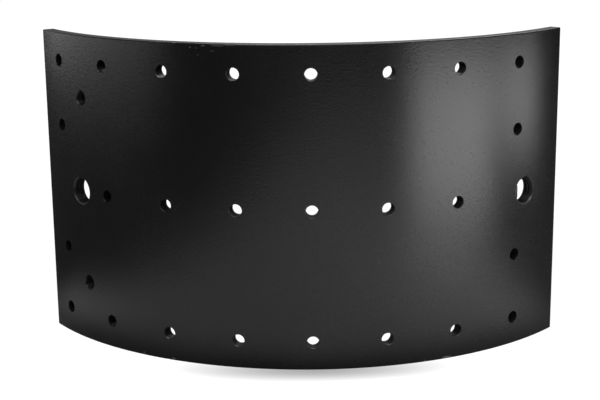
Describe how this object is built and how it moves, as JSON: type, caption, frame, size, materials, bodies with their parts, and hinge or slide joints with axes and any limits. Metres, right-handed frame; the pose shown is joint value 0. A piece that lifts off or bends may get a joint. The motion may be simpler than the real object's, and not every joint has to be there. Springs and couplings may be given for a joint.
{
  "type": "brake shoe",
  "caption": "Unlined drum brake shoe: curved table with rivet holes on two webs with anchor eyes and roller seats.",
  "frame": {"origin": "middle of the shoe's footprint, on the surface it stands on", "axes": "+Z along the drum axis, -Y out of the convex lining face through its middle rivet column, +X towards the cam end"},
  "size_m": [0.3028, 0.1848, 0.183],
  "materials": {
    "black_paint": "satin black, slightly grainy",
    "bush_bronze": "machined"
  },
  "bodies": {
    "root": {"table": "black_paint", "web_upper": "black_paint", "web_lower": "black_paint", "anchor_bush_upper": "bush_bronze", "anchor_bush_lower": "bush_bronze", "return_spring_pin": "black_paint", "weld_beads_outer_upper": "black_paint", "weld_beads_outer_lower": "black_paint", "weld_beads_inner_upper": "black_paint", "weld_beads_inner_lower": "black_paint"}
  },
  "joints": []
}
